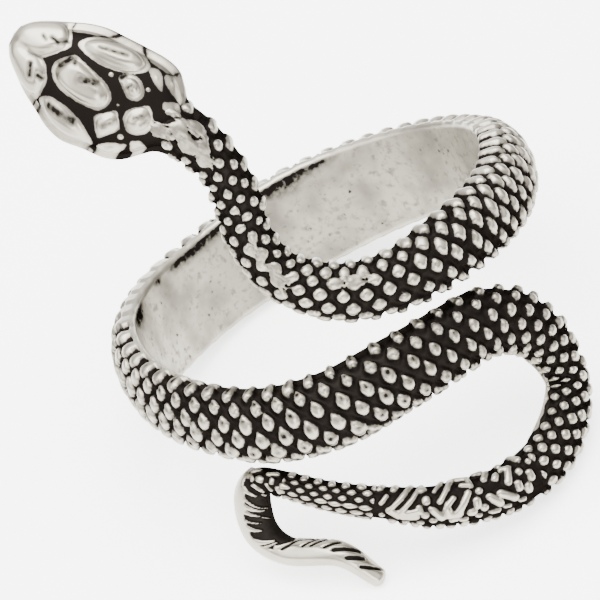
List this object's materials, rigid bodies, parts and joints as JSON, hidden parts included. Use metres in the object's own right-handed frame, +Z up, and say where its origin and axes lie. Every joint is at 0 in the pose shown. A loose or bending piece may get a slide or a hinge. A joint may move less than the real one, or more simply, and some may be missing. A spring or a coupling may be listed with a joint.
{
  "type": "snake ring",
  "caption": "Open wrap finger ring cast as a scaled snake, with a raised plated head above the hoop and a tail that folds back twice below it.",
  "frame": {"origin": "middle of the footprint of the ring's box, on the surface it rests on", "axes": "+Z up as it rests on its side, leaning back on its tail and rear edge; the head points up and to -X, and -Y faces the viewer; the finger hole's axis leans 25 degrees from +Z towards +Y"},
  "size_m": [0.0222, 0.0246, 0.0278],
  "materials": {
    "antique_silver": "polished silver plate on the raised scales, head plates and inner wall, black patina in the grooves between them"
  },
  "bodies": {
    "root": {"snake_ring": "antique_silver"}
  },
  "joints": []
}
